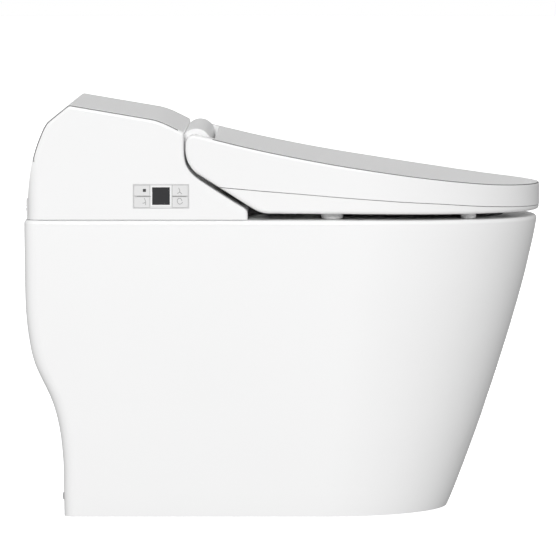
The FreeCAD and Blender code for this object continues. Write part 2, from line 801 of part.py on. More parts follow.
# proud band across the back, under the curved part of the cover
band_outer = Part.makeBox(2 * (hh - 16), 2.0, 26.2, Vector(-hh + 16, DY + 329.2, num("deck_z") + num("seam_gap")))
for x, y, z in COVER_SCREWS:
    band_outer = band_outer.cut(Part.makeCylinder(num("screw_radius"), 20, Vector(x, y - 18, z), Vector(0, 1, 0)))
free("rear_band", band_outer)

# ---------------------------------------------------------------- chassis plate
ct = num("chassis_thick")
cp_half = hh - hw - 0.3
chassis = Part.makeBox(2 * cp_half, 325.4 - 43.3, ct, at(-43.3, num("deck_z"), -cp_half))
chassis = chassis.cut(Part.makeBox(164, 40, 20, at(-43.3 + 2, 395, -82)))
chassis = chassis.cut(Part.makeCylinder(17.2, 20, Vector(56, 240, 395)))
chassis = chassis.cut(Part.makeCylinder(5.6, 20, Vector(140, 294, 395)))
for x, y in CHASSIS_SCREWS:
    chassis = chassis.cut(Part.makeCylinder(num("screw_radius"), 20, Vector(x, y, 395)))
for x, y, z in COVER_SCREWS:
    chassis = chassis.fuse(Part.makeBox(20, 12, 24, Vector(x - 10, DY + 316, num("deck_z") + ct)))
# two posts that carry the hinge barrel
for sx in (-1, 1):
    chassis = chassis.fuse(Part.makeBox(14, 20, 104, Vector(sx * 84 - 7, DY + 127.2, num("deck_z") + ct)))
chassis = chassis.cut(Part.makeCylinder(num("barrel_radius"), 400, Vector(-200, axis.y, axis.z), Vector(1, 0, 0)))
chassis = chassis.common(house_plan(hw + 0.3)).removeSplitter()
for x, y, z in COVER_SCREWS:
    chassis = chassis.cut(Part.makeCylinder(num("screw_radius"), 20, Vector(x, y - 18, z), Vector(0, 1, 0)))
free("chassis_plate", chassis)

# ---------------------------------------------------------------- hinge
barrel = cyl("barrel_skin", q("barrel_radius"), q("barrel_half") * 2, -q("barrel_half"), q("datum_y") - q("hinge_reach"), q("hinge_z"), ALONG_X)
barrel_hollow = cyl("barrel_hollow", q("barrel_radius") - 3, (q("barrel_half") - 3) * 2, 3 - q("barrel_half"), q("datum_y") - q("hinge_reach"), q("hinge_z"), ALONG_X)
barrel_bore = cyl("barrel_bore", q("shaft_radius"), 400, -200, q("datum_y") - q("hinge_reach"), q("hinge_z"), ALONG_X)
node(cut("hinge_barrel", barrel, barrel_hollow, barrel_bore), "hinge_barrel")

shaft = turned(
    "hinge_shaft",
    [
        (0, -q("shaft_half")), (q("shaft_radius") - 0.6, -q("shaft_half")), (q("shaft_radius"), 0.6 - q("shaft_half")),
        (q("shaft_radius"), q("shaft_half") - 0.6), (q("shaft_radius") - 0.6, q("shaft_half")), (0, q("shaft_half")),
    ],
    rot=ALONG_X,
    at_point=(0, q("datum_y") - q("hinge_reach"), q("hinge_z")),
)
node(shaft, "hinge_shaft")


def damper(label, x):
    b = body(label)
    s1 = sketch(b, label + "_case")
    circle(s1, q("barrel_radius") - 3)
    circle(s1, q("shaft_radius"))
    pad(b, s1, 46)
    s2 = sketch(b, label + "_neck", up=46)
    circle(s2, 11)
    circle(s2, q("shaft_radius"))
    pad(b, s2, 12)
    return node(place(b, x, q("datum_y") - q("hinge_reach"), q("hinge_z"), rot=ALONG_X), label)


damper("seat_damper", -143 + 0.0)
damper("lid_damper", 85)

# ---------------------------------------------------------------- lid
lh, lw = num("lid_half"), num("lid_wall")
lobe_in = num("lobe_inner")
slot = num("slot_reach")


def lid_side(inset):
    """Side profile of the lid, its rear lobe included."""
    edges = [
        spline(side_points(LID_TOP)),
        spline(side_points(LOBE)),
        seg(at(*LOBE[-1]), at(-79.3, 447.6)),
        seg(at(-79.3, 447.6), at(-78, SEAM_AT_REAR)),
        SEAM_EDGE.copy(),
        seg(at(365, 412.2 + LIFT), at(365, 442.6)),
    ]
    return Part.Wire(Part.__sortEdges__(edges))


LIFT = 0.25
seam_rows = [(-78, 446.75)] + SEAM[1:]
SEAM_AT_REAR = 446.75 + LIFT
SEAM_EDGE = spline(side_points(seam_rows, LIFT))
lid_wire = lid_side(0)
lid_prism = prism(open_back_plan(lh, num("lid_reach"), num("lid_nose"), 140, 380), 160)
lid_outer = slab(lid_wire, -lh, lh).common(lid_prism)


def lid_top_edge(e):
    p = e.valueAt((e.FirstParameter + e.LastParameter) / 2)
    f = DY - p.y
    top = table(LID_TOP, f) if f > -109 else 0
    if f > -109 and abs(p.z - top) < 1.5:
        return abs(p.x) > lh - 0.5 or f > 300
    return False


def lid_lobe_edge(e):
    p = e.valueAt((e.FirstParameter + e.LastParameter) / 2)
    return near(e, lh, 0.5) and DY - p.y < -79 and p.z > 448


lid_outer = round_edges(lid_outer, [(3.6, lambda e: lid_top_edge(e) or lid_lobe_edge(e))])

lid_in_wire = inner_profile(lid_wire, lw)
in_prism = prism(open_back_plan(lh - lw, num("lid_reach") - lw, num("lid_nose") - lw, 140, 380), 160)
lid_hollow = slab(lid_in_wire, -lh + lw, lh - lw)
# the plate is open underneath, the lobes are closed
below = Part.Wire(
    Part.__sortEdges__(
        [
            spline(side_points(seam_rows, LIFT + 6)),
            seg(at(-78, 446.75 + LIFT + 6), at(-74.5, 440)),
            seg(at(-74.5, 440), at(365, 400)),
            seg(at(365, 400), at(365, 412.2 + LIFT + 6)),
        ]
    )
)
lid_hollow = lid_hollow.fuse(slab(below, -lh + lw, lh - lw)).common(in_prism)
lid_hollow = lid_hollow.cut(Part.makeBox(2 * (lobe_in + lw), 60, 120, at(slot + lw, 430, -lobe_in - lw)))
lid = lid_outer.cut(lid_hollow)
lid = lid.cut(Part.makeBox(2 * lobe_in, 60, 120, at(slot, 430, -lobe_in)))
# ways through the plate's rear wall for the two seat arms
for sx in (-1, 1):
    x0 = 146.6 if sx > 0 else -164.4
    lid = lid.cut(Part.makeBox(17.8, 16, 80, at(slot + 10, 427.5, x0)))
# bosses that turn on the hinge shaft
for sx in (-1, 1):
    boss = Part.makeCylinder(10, 20, Vector(sx * lobe_in, axis.y, axis.z), Vector(sx, 0, 0))
    lid = lid.fuse(boss.common(lid_outer))
    bore = Part.makeCylinder(
        num("shaft_radius") + num("shaft_fit"), num("shaft_half") - lobe_in + 1.5, Vector(sx * (lobe_in - 1), axis.y, axis.z), Vector(sx, 0, 0)
    )
    lid = lid.cut(bore)
lid = lid.removeSplitter()
free("lid_shell", lid)

# inner panel that closes the lid over the seat's crown
panel_rows = [r for r in seam_rows if r[0] > -40]
panel_low = spline(side_points([(-42, 443.5)] + panel_rows, LIFT + 11))
panel_high = spline(side_points([(-42, 443.5)] + panel_rows, LIFT + 13.5))
panel_wire = Part.Wire(
    Part.__sortEdges__(
        [
            panel_low,
            panel_high,
            seg(at(-42, 443.5 + LIFT + 11), at(-42, 443.5 + LIFT + 13.5)),
            seg(at(365, 412.2 + LIFT + 11), at(365, 412.2 + LIFT + 13.5)),
        ]
    )
)
ip = lw + 0.1
panel = slab(panel_wire, -lh + ip, lh - ip).common(
    prism(open_back_plan(lh - ip, num("lid_reach") - ip, num("lid_nose") - ip, 140, 380), 160)
)
free("lid_inner_panel", panel)

pads = []
for i, (x, f) in enumerate(((-128, 60), (128, 60), (-98, 268), (98, 268))):
    top = table(seam_rows, f) + LIFT + 10.9
    low_z = table(seam_rows, f) + num("seat_crown") + 1.1
    c = Part.makeCylinder(7, top - low_z + 1.5, at(f, low_z, x))
    pads.append(c.cut(panel))
pads = [max(p.Solids, key=lambda s: -s.CenterOfMass.z) for p in pads]
free("lid_bumpers", Part.makeCompound(pads))

# ---------------------------------------------------------------- seat
sh = num("seat_half")


def seat_side(top_dz, low_dz=0.0):
    """Side profile between the sweep and a line above or below the seam."""
    rows = [(-77.5, 446.7)] + SEAM[1:]
    sweep = [(-77.5, 446.7 - 0.6)] + SWEEP[3:]
    edges = [
        spline(side_points(rows, top_dz)),
        spline(side_points(sweep)),
        spline(side_points(SEAT_LOW)),
        seg(at(365, 405.8), at(365, 412.2 + top_dz)),
    ]
    if abs(top_dz + 0.6) > 1e-9:
        edges.append(seg(at(-77.5, 446.1), at(-77.5, 446.7 + top_dz)))
    return Part.Wire(Part.__sortEdges__(edges))


seat_plan = prism(open_back_plan(sh, num("lid_reach") - 0.5, num("lid_nose") - 0.5, 140, 380), 160)
seat_opening = prism(oval(num("seat_open_reach"), num("seat_open_len"), num("seat_open_half"), 380), 160)
ledge = slab(seat_side(-0.6), -sh, sh).common(seat_plan)


def seat_low_edge(e):
    p = e.valueAt((e.FirstParameter + e.LastParameter) / 2)
    f = DY - p.y
    return (abs(p.x) > sh - 0.5 and -70 < f < 112 and p.z < 440 and p.z < table(seam_rows, f) - 4) or (
        f > 300 and p.z < 409.5
    )


ledge = round_edges(ledge, [(4.2, seat_low_edge)])

crown = num("seat_crown")
crown_rows = [(-40, 443.2)] + SEAM[2:]
crown_wire = Part.Wire(
    Part.__sortEdges__(
        [
            spline(side_points(crown_rows, crown)),
            spline(side_points(crown_rows, -3)),
            seg(at(-40, 443.2 - 3), at(-40, 443.2 + crown)),
            seg(at(365, 412.2 - 3), at(365, 412.2 + crown)),
        ]
    )
)
ci = 4.6
crown_body = slab(crown_wire, -sh + ci, sh - ci).common(
    prism(open_back_plan(sh - ci, num("lid_reach") - 0.5 - ci, num("lid_nose") - 0.5 - ci, 140, 380), 160)
)


seat_ring = ledge.fuse(crown_body).cut(seat_opening).removeSplitter()


def crown_inner(e):
    p = e.valueAt((e.FirstParameter + e.LastParameter) / 2)
    f = DY - p.y
    r = math.hypot((f - num("seat_open_reach")) / num("seat_open_len"), p.x / num("seat_open_half"))
    return abs(r - 1) < 0.01 and p.z > table(seam_rows, f) + crown - 2


seat_ring = round_edges(seat_ring, [(8.0, crown_inner)])

# hollow from below
def seat_ring_region(out, inn, rear, z=380, height=160):
    plate = prism(open_back_plan(sh - out, num("lid_reach") - 0.5 - out, num("lid_nose") - 0.5 - out, rear, z), height)
    return plate.cut(prism(oval(num("seat_open_reach"), num("seat_open_len") + inn, num("seat_open_half") + inn, z - 1), height + 2))


hollow_rows = [(-30, 442.4)] + SEAM[2:]
hollow_wire = Part.Wire(
    Part.__sortEdges__(
        [
            spline(side_points(hollow_rows, crown - 3.5)),
            seg(at(-30, 442.4 + crown - 3.5), at(-8, 400)),
            seg(at(-8, 400), at(365, 395)),
            seg(at(365, 395), at(365, 412.2 + crown - 3.5)),
        ]
    )
)
seat_hollow = slab(hollow_wire, -sh, sh).common(seat_ring_region(12.5, 9.5, 140))
seat_top = seat_ring.cut(seat_hollow)

# arms from the ring's rear corners up to the hinge hubs
arm_low = [(-119.0, 484.0), (-117.0, 480.8), (-113.2, 474.4), (-108.3, 468.5), (-101.9, 464.0), (-90.4, 457.0), (-78.6, 449.4), (-59.2, 436.8), (-40, 424.4)]
arm_wire = Part.Wire(
    Part.__sortEdges__(
        [
            spline(side_points([(-119.8, 492)] + arm_low)),
            seg(at(-40, 424.4), at(-30, 440)),
            seg(at(-30, 440), at(-97.5, 494)),
            seg(at(-97.5, 494), at(-119.8, 492)),
        ]
    )
)
hi, ho = num("hub_inner"), num("hub_outer")
for sx in (-1, 1):
    x0 = hi if sx > 0 else -ho
    arm = slab(arm_wire, x0, x0 + ho - hi)
    hub = Part.makeCylinder(num("hub_radius"), ho - hi, Vector(x0, axis.y, axis.z), Vector(1, 0, 0))
    arm = arm.fuse(hub)
    seat_top = seat_top.fuse(arm)
for sx in (-1, 1):
    x0 = hi if sx > 0 else -ho
    bore = Part.makeCylinder(num("shaft_radius") + num("shaft_fit"), ho - hi + 2, Vector(x0 - 1, axis.y, axis.z), Vector(1, 0, 0))
    seat_top = seat_top.cut(bore)
seat_top = seat_top.removeSplitter()
free("seat_top", seat_top)

# closing plate under the seat
base_wire = Part.Wire(
    Part.__sortEdges__(
        [
            spline(side_points(SEAT_LOW, 0.05)),
            spline(side_points(SEAT_LOW, 2.8)),
            seg(at(-9.8, 411.85), at(-9.8, 414.6)),
            seg(at(365, 405.85), at(365, 408.6)),
        ]
    )
)
seat_base = slab(base_wire, -sh, sh).common(seat_ring_region(12.6, 9.6, 140))
free("seat_base", seat_base)

# flat heating film under the seat's upper skin
film_wire = Part.Wire(
    Part.__sortEdges__(
        [
            spline(side_points([(0, 439.9)] + SEAM[3:], crown - 4.3)),
            spline(side_points([(0, 439.9)] + SEAM[3:], crown - 3.6)),
            seg(at(0, 439.9 + crown - 4.3), at(0, 439.9 + crown - 3.6)),
            seg(at(365, 412.2 + crown - 4.3), at(365, 412.2 + crown - 3.6)),
        ]
    )
)
seat_heater = slab(film_wire, -sh, sh).common(seat_ring_region(18, 14, 140))
free("seat_heater", seat_heater)


def bumper(x, f, r, tag):
    """A domed rubber foot between the seat and the rim."""
    top = table(SEAT_LOW, f + 0.0)
    rim = table(RIM, f)
    dome = Part.makeCylinder(r, 14, at(f, rim + 0.35, x))
    dome = dome.makeFillet(3.0, [e for e in dome.Edges if abs(e.BoundBox.ZMin - rim - 0.35) < 1e-3 and e.BoundBox.ZLength < 1e-3])
    lower = Part.Wire(
        Part.__sortEdges__(
            [
                spline(side_points(SEAT_LOW)),
                seg(at(-9.8, 411.8), at(-9.8, 390)),
                seg(at(-9.8, 390), at(365, 390)),
                seg(at(365, 390), at(365, 405.8)),
            ]
        )
    )
    return dome.common(slab(lower, -sh, sh))


free("seat_bumpers_rear", Part.makeCompound([bumper(sx * 158, 71.6, 14.5, "r") for sx in (-1, 1)]))
free("seat_bumpers_front", Part.makeCompound([bumper(sx * 124, 253, 10.5, "f") for sx in (-1, 1)]))

# ---------------------------------------------------------------- wash nozzles

tilt = Rotation(Vector(1, 0, 0), num("nozzle_tilt"))
mouth = at(num("nozzle_reach"), num("nozzle_z"))


def tilted(obj, x, y, z, rot=None):
    """Place in the nozzles' own frame: y runs back up the slope, z square to it."""
    base = mouth + tilt.multVec(Vector(x, y, z))
    obj.Placement = Placement(base, tilt.multiply(rot) if rot else tilt)
    return obj


sl_half, sl_high, sl_len = q("sleeve_half"), q("sleeve_high"), q("sleeve_len")
sleeve = tilted(box("sleeve_block", sl_half * 2, sl_len, sl_high, 0, 0, 0), -num("sleeve_half"), 0, -num("sleeve_high") / 2)
bores = []
for i, sx in enumerate((-1, 1)):
    bore = cyl("sleeve_bore%d" % i, q("nozzle_radius") + q("nozzle_fit"), 200, 0, 0, 0)
    bores.append(tilted(bore, sx * num("nozzle_side"), -20, 0, ALONG_Y))
node(cut("nozzle_housing", sleeve, *bores), "nozzle_housing")


def nozzle(label, sx):
    """A spray tube with a rounded tip, a flat under the tip and three jets."""
    b = body(label)
    r, n = q("nozzle_radius"), q("nozzle_len")
    sk = sketch(b, label + "_profile", "XZ_Plane")
    line_loop(
        sk,
        [(0, 0), (r - 2.6, 0), (r - 0.9, 0.9), (r, 2.6), (r, n), (0, n)],
    )
    revolve(b, sk)
    jets = sketch(b, label + "_jets", "XZ_Plane", up=0)
    for k in range(3):
        circle(jets, 0.75, 0, 8 + 4 * k)
    doc.recompute()
    before = b.Shape.Volume
    hole = pocket(b, jets, 20)
    hole.Midplane = False
    doc.recompute()
    if b.Shape.Volume > before - 1:
        hole.Reversed = True
        doc.recompute()
    if b.Shape.Volume > before - 1:
        raise RuntimeError("jets cut nothing on " + label)
    # turned so that its length runs back up the slope and the jets face up
    tilted(b, sx * num("nozzle_side"), 1.0, 0, ALONG_Y)
    return node(b, label)


nozzle("rear_nozzle", -1)
nozzle("front_nozzle", 1)

# a rubber wheel presses on each nozzle and is turned by its own motor; the two motors
# sit on the outer sides of one bracket on the nozzle housing
m_x = num("nozzle_side")
wheel_y = num("sleeve_len") + 11
wheel_z = num("nozzle_radius") + 6.1
motors = []
for i, sx in enumerate((-1, 1)):
    side = ALONG_X if sx > 0 else BACK_X
    can = tilted(cyl("motor_can%d" % i, 8.5, 11, 0, 0, 0), sx * 18.5, wheel_y, wheel_z, side)
    pinion = tilted(cyl("motor_shaft%d" % i, 1.5, 15, 0, 0, 0), sx * 4.5, wheel_y, wheel_z, side)
    motors.append(fuse("nozzle_motor%d" % i, can, pinion))
node(group("nozzle_motors", *motors), "nozzle_motors")

for tag, sx in (("rear", -1), ("front", 1)):
    b = body(tag + "_drive_wheel")
    s = sketch(b, tag + "_wheel_disc")
    circle(s, 6)
    circle(s, 1.55)
    pad(b, s, 6)
    # short grooves across the tread
    rib = sketch(b, tag + "_wheel_rib")
    rect(rib, 1.0, 1.0, 0, 0.0 + 5.4)
    doc.recompute()
    cutrib = pocket(b, rib, 6, back=True)
    pat = b.newObject("PartDesign::PolarPattern", tag + "_wheel_ribs")
    pat.Originals = [cutrib]
    pat.Axis = (s, ["N_Axis"])
    pat.Angle = 360
    pat.Occurrences = 12
    b.Tip = pat
    tilted(b, sx * m_x - 3, wheel_y, wheel_z, ALONG_X)
    node(b, tag + "_drive_wheel")
cheeks = [tilted(box("drive_bridge", 37, 3, 11, 0, 0, 0), -18.5, wheel_y + 9, num("sleeve_high") / 2)]
for i, sx in enumerate((-1, 1)):
    cheeks.append(tilted(box("drive_cheek%d" % i, 2.5, 29, 11, 0, 0, 0), sx * 17.25 - 1.25, wheel_y - 17, num("sleeve_high") / 2))
shaft_hole = tilted(cyl("drive_hole", 1.7, 60, 0, 0, 0), -30, wheel_y, wheel_z, ALONG_X)
node(cut("drive_bracket", fuse("drive_frame", *cheeks), shaft_hole), "drive_bracket")

# ---------------------------------------------------------------- warm-air dryer

dx = q("duct_side")
duct_out = tilted(box("duct_skin", q("duct_wide"), q("duct_len"), q("duct_high"), 0, 0, 0), num("duct_side") - num("duct_wide") / 2, 0, -num("duct_high") / 2)
duct_in = tilted(box("duct_hollow", q("duct_wide") - 4, q("duct_len") + 10, q("duct_high") - 4, 0, 0, 0), num("duct_side") - num("duct_wide") / 2 + 2, -5, -num("duct_high") / 2 + 2)
pin_hole = tilted(cyl("flap_pin_room", 0.96, 44, 0, 0, 0), num("duct_side") - 22, 2.6, num("duct_high") / 2 - 3.7, ALONG_X)
node(cut("dryer_duct", duct_out, duct_in, pin_hole), "dryer_duct")
heat_frame = tilted(box("heat_frame", q("duct_wide") - 4, 16, q("duct_high") - 4, 0, 0, 0), num("duct_side") - num("duct_wide") / 2 + 2, 70, -num("duct_high") / 2 + 2)
slots = []
for k in range(6):
    slots.append(tilted(box("heat_slot%d" % k, 3.6, 30, 9, 0, 0, 0), num("duct_side") - 16.6 + k * 5.9, 62, -4.5))
node(cut("dryer_heater", heat_frame, *slots), "dryer_heater")

flap = body("dryer_flap")
fs = sketch(flap, "flap_plate", "XY_Plane")
rect(fs, q("duct_wide") - 5, q("duct_high") - 6.3, 0, -(q("duct_high") - 6.3) / 2)
pad(flap, fs, q("flap_thick"))
knuckle = sketch(flap, "flap_knuckle", "YZ_Plane", up=-17.5)
circle(knuckle, 1.3, 0, 0.8)
pad(flap, knuckle, 35)
pins = sketch(flap, "flap_pins", "YZ_Plane", up=-19.8)
circle(pins, 0.9, 0, 0.8)
pad(flap, pins, 39.6)
tilted(flap, num("duct_side"), 3.4, num("duct_high") / 2 - 3.7, Rotation(Vector(1, 0, 0), 90))
node(flap, "dryer_flap")

# blower: snail case, wheel and motor; the wheel turns on a spindle along X
bx = num("duct_side")
blower_c = mouth + tilt.multVec(Vector(bx, num("duct_len") + 36, 20))
blower_c = Vector(bx, blower_c.y, blower_c.z)
fr, fw = num("fan_radius"), num("fan_wide")
case_out = cyl("blower_skin", q("fan_radius") + 6, q("fan_wide") + 8, blower_c.x - fw / 2 - 4, blower_c.y, blower_c.z, ALONG_X)
case_in = cyl("blower_hollow", q("fan_radius") + 3, q("fan_wide") + 3, blower_c.x - fw / 2 - 1.5, blower_c.y, blower_c.z, ALONG_X)
case_eye = cyl("blower_eye", 17, 10, blower_c.x - fw / 2 - 8, blower_c.y, blower_c.z, ALONG_X)
case_axle = cyl("blower_axle_hole", q("spindle"), 20, blower_c.x, blower_c.y, blower_c.z, ALONG_X)
duct_keep = tilted(box("duct_keep", q("duct_wide"), q("duct_len"), q("duct_high"), 0, 0, 0), num("duct_side") - num("duct_wide") / 2, 0, -num("duct_high") / 2)
case_port = tilted(box("duct_port", q("fan_wide") - 2, 40, q("duct_high") - 5, 0, 0, 0), num("duct_side") - (num("fan_wide") - 2) / 2, num("duct_len") - 3, -num("duct_high") / 2 + 2.5)
node(cut("blower_case", case_out, case_in, case_eye, case_axle, duct_keep, case_port), "blower_case")


def fan(label, radius, wide, blades, centre):
    b = body(label)
    s = sketch(b, label + "_disc")
    circle(s, radius)
    circle(s, q("spindle") + 0.06)
    pad(b, s, 2)
    h = sketch(b, label + "_hub", up=2)
    circle(h, 8)
    circle(h, q("spindle") + 0.06)
    pad(b, h, wide - 6)
    blade = sketch(b, label + "_blade", up=2)
    rr = lift(radius)
    line_loop(
        blade,
        [(rr * 0.62, 0 - 0.8), (rr * 0.97, 2.4), (rr * 0.97, 3.9), (rr * 0.62, 0.8)],
    )
    p = pad(b, blade, wide - 2)
    doc.recompute()
    pat = b.newObject("PartDesign::PolarPattern", label + "_blades")
    pat.Originals = [p]
    pat.Axis = (blade, ["N_Axis"])
    pat.Angle = 360
    pat.Occurrences = blades
    b.Tip = pat
    place(b, centre.x, centre.y, centre.z, rot=ALONG_X)
    return node(b, label)


fan("blower_wheel", q("fan_radius"), q("fan_wide"), 20, Vector(blower_c.x - fw / 2, blower_c.y, blower_c.z))
bm = turned(
    "blower_motor",
    [
        (0, -15), (q("spindle"), -15), (q("spindle"), 4 + 10 - 0.0), (16, 14), (16, 34), (13, 36), (0, 36),
    ],
    rot=ALONG_X,
    at_point=(blower_c.x + 0.0, blower_c.y, blower_c.z),
)
node(bm, "blower_motor")

# ---------------------------------------------------------------- deodorizer, on the other side of the nozzles
deo_skin = tilted(box("deo_skin", 40, 118, 17, 0, 0, 0), -70, 0, -8.5)
deo_hollow = tilted(box("deo_hollow", 36, 138, 13, 0, 0, 0), -68, -10, -6.5)
node(cut("deodorizer_duct", deo_skin, deo_hollow), "deodorizer_duct")
cart = tilted(box("filter_block", 35.4, 50, 12.4, 0, 0, 0), -67.7, 30, -6.2)
holes = [tilted(cyl("filter_hole%d" % k, 2.2, 70, 0, 0, 0), -62 + 8 * k, 20, 0, ALONG_Y) for k in range(4)]
node(cut("deodorizer_filter", cart, *holes), "deodorizer_filter")
deo_c = mouth + tilt.multVec(Vector(-50, 118 + 23, 4))
deo_case = cyl("deo_case_skin", 24, 16, -58, deo_c.y, deo_c.z, ALONG_X)
deo_room = cyl("deo_case_room", 21.5, 12.5, -56.5, deo_c.y, deo_c.z, ALONG_X)
deo_spin = cyl("deo_case_axle", 3, 20, -50, deo_c.y, deo_c.z, ALONG_X)
deo_keep = tilted(box("deo_keep", 40, 118, 17, 0, 0, 0), -70, 0, -8.5)
deo_port = tilted(box("deo_port", 11, 24, 11, 0, 0, 0), -55.5, 116, -5.5)
node(cut("deodorizer_case", deo_case, deo_room, deo_spin, deo_keep, deo_port), "deodorizer_case")
fan("deodorizer_wheel", lift(19.5), lift(10.5), 14, Vector(-55.3, deo_c.y, deo_c.z))
dm = turned(
    "deodorizer_motor",
    [(0, -6), (3, -6), (3, 8), (11, 8), (11, 19.5), (0, 19.5)],
    rot=ALONG_X,
    at_point=(-50, deo_c.y, deo_c.z),
)
node(dm, "deodorizer_motor")

# ---------------------------------------------------------------- control panel on the -X side

px = -q("house_half") - 0.3
plate = box("plate_block", q("plate_thick"), q("plate_long"), q("plate_tall"), px, q("datum_y") - q("plate_reach") - q("plate_long") / 2, q("plate_z") - q("plate_tall") / 2)
openings = [
    box(
        "bezel_window", 10, q("bezel_side"), q("bezel_side"), px - 2,
        q("datum_y") - q("plate_reach") - q("bezel_side") / 2, q("plate_z") + 0.4 - q("bezel_side") / 2,
    )
]
KEYS = []
for tag, sy, sz in (("stop", 1, 1), ("rear_wash", 1, -1), ("front_wash", -1, 1), ("dryer", -1, -1)):
    ky = q("datum_y") - q("plate_reach") + (q("plate_long") / 2 - 1.2 - q("key_long") / 2) * sy
    kz = q("plate_z") + (q("key_tall") / 2 + 0.75) * sz
    KEYS.append((tag, ky, kz))
    openings.append(
        box(
            "window_" + tag, 10, q("key_long") + q("key_gap") * 2, q("key_tall") + q("key_gap") * 2, px - 2,
            ky - q("key_long") / 2 - q("key_gap"), kz - q("key_tall") / 2 - q("key_gap"),
        )
    )
node(cut("control_plate", plate, *openings), "control_plate")

bez = box("bezel_block", 2.2, q("bezel_side"), q("bezel_side"), px - 0.1, q("datum_y") - q("plate_reach") - q("bezel_side") / 2, q("plate_z") + 0.4 - q("bezel_side") / 2)
bez_hole = box("bezel_hole", 10, q("bezel_side") - q("bezel_rim") * 2, q("bezel_side") - q("bezel_rim") * 2, px - 3, q("datum_y") - q("plate_reach") - q("bezel_side") / 2 + q("bezel_rim"), q("plate_z") + 0.4 - q("bezel_side") / 2 + q("bezel_rim"))
node(cut("display_frame", bez, bez_hole), "display_frame")
node(
    box("display_window", 1.9, q("bezel_side") - q("bezel_rim") * 2, q("bezel_side") - q("bezel_rim") * 2, px + 0.1, q("datum_y") - q("plate_reach") - q("bezel_side") / 2 + q("bezel_rim"), q("plate_z") + 0.4 - q("bezel_side") / 2 + q("bezel_rim")),
    "display_window",
)
for tag, ky, kz in KEYS:
    b = body("key_" + tag)
    s = sketch(b, "key_%s_face" % tag, "YZ_Plane")
    rect(s, q("key_long"), q("key_tall"))
    pad(b, s, q("key_thick"))
    node(place(b, px + 0.0, ky, kz), "key_" + tag)
board_x = px + q("key_thick") + 0.9
node(
    box("control_board", q("board_thick"), q("plate_long") - 4, q("plate_tall") - 3, board_x, q("datum_y") - q("plate_reach") - (q("plate_long") - 4) / 2, q("plate_z") - (q("plate_tall") - 3) / 2),
    "control_board",
)

# ---------------------------------------------------------------- water and power inside the housing

deck = q("deck_z") + q("chassis_thick")
tank = box("tank_skin", q("tank_wide"), q("tank_long"), q("tank_tall"), 33, DY + 204, deck)
tank_hollow = box("tank_hollow", q("tank_wide") - q("tank_wall") * 2, q("tank_long") - q("tank_wall") * 2, q("tank_tall") - q("tank_wall") * 2, 33 + q("tank_wall"), DY + 204 + q("tank_wall"), deck + q("tank_wall"))
tank_port = cyl("tank_port", 11, 20, 56, 240, 398)
fill_port = cyl("fill_port", 3.5, 20, 140, 294, 398)
node(cut("water_tank", tank, tank_hollow, tank_port, fill_port), "water_tank")

# flush pump under the chassis plate in the rear compartment
pump = body("flush_pump")
s = sketch(pump, "pump_can")
circle(s, q("pump_radius"))
pad(pump, s, q("pump_tall"))
s = sketch(pump, "pump_flange", up=num("pump_tall"))
rect(s, 104, 66)
pad(pump, s, 8)
s = sketch(pump, "pump_neck", up=num("pump_tall") + 8)
circle(s, 17)
pad(pump, s, q("chassis_thick"))
place(pump, 56, 240, q("deck_z") - 8 - q("pump_tall"))
node(pump, "flush_pump")

pump_low = num("deck_z") - 8 - num("pump_tall")
pipe_points = [Vector(56, 240, pump_low), Vector(56, 240, 205), Vector(56, -100, 205)]
pipe, pipe_run = tube(pipe_points, 40, num("pipe_radius"))
pipe_room, _ = tube(pipe_points, 40, num("pipe_radius") - 2)
print("flush pipe volume / (section x length): %.4f" % (pipe.Volume / (math.pi * num("pipe_radius") ** 2 * pipe_run)))
pipe = pipe.cut(pipe_room).cut(bowl_loft(11.2))
free("flush_pipe", max(pipe.Solids, key=lambda x: x.Volume))

# tray in the service opening, with the water inlet and the power gland in it
tray_y = 256
tray = box("tray_flange", 160, 2.5, 58, -80, 281.5, 47)
tray_box = box("tray_box", 146, 26, 44, -73, tray_y, 54)
tray_room = box("tray_room", 140, 40, 38, -70, tray_y + 3, 57)
tray_holes = [
    cyl("tray_inlet_hole", 7.1, 20, 38, 250, 76, ALONG_Y),
    cyl("tray_gland_hole", 7.1, 20, -38, 250, 76, ALONG_Y),
]
node(cut("service_tray", fuse("tray_whole", tray, tray_box), tray_room, *tray_holes), "service_tray")
ir, ib = q("inlet_radius"), q("inlet_bore")
node(
    turned(
        "water_inlet",
        [
            (ib, -20), (ib + 1.05, -20), (ib + 1.05, 0), (14, 0), (14, 4), (ir - 1.2, 4), (ir - 1.2, 6.5), (ir, 7.5),
            (ir, 7.5 + q("inlet_len")), (ir - 0.9, 8.4 + q("inlet_len")), (ib, 8.4 + q("inlet_len")),
        ],
        rot=ALONG_Y,
        at_point=(38, tray_y + 3, 76),
    ),
    "water_inlet",
)
gr = q("gland_radius")
node(
    turned(
        "power_gland",
        [(4, -12), (7.05, -12), (7.05, 0), (gr + 3, 0), (gr + 3, 5), (gr, 5), (gr, 14), (gr - 3, 18), (4, 18)],
        rot=ALONG_Y,
        at_point=(-38, tray_y + 3, 76),
    ),
    "power_gland",
)
valve_block = box("valve_block", 40, 34, 36, 18, tray_y + 3 - 20 - 34, 58)
valve_coil = cyl("valve_coil", 12, 26, 30, 222, 94)
valve_spout = cyl("valve_spout", 6, 12, 50, 222, 94)
node(fuse("inlet_valve", valve_block, valve_coil, valve_spout), "inlet_valve")
hose_points = [Vector(50, 222, 106), Vector(50, 222, 150), Vector(140, 294, 200), Vector(140, 294, num("deck_z") + num("chassis_thick"))]
hose, hose_run = tube(hose_points, 26, 5)
hose_room, _ = tube(hose_points, 26, 3.5)
print("supply hose volume / (section x length): %.4f" % (hose.Volume / (math.pi * 25 * hose_run)))
free("supply_hose", hose.cut(hose_room))

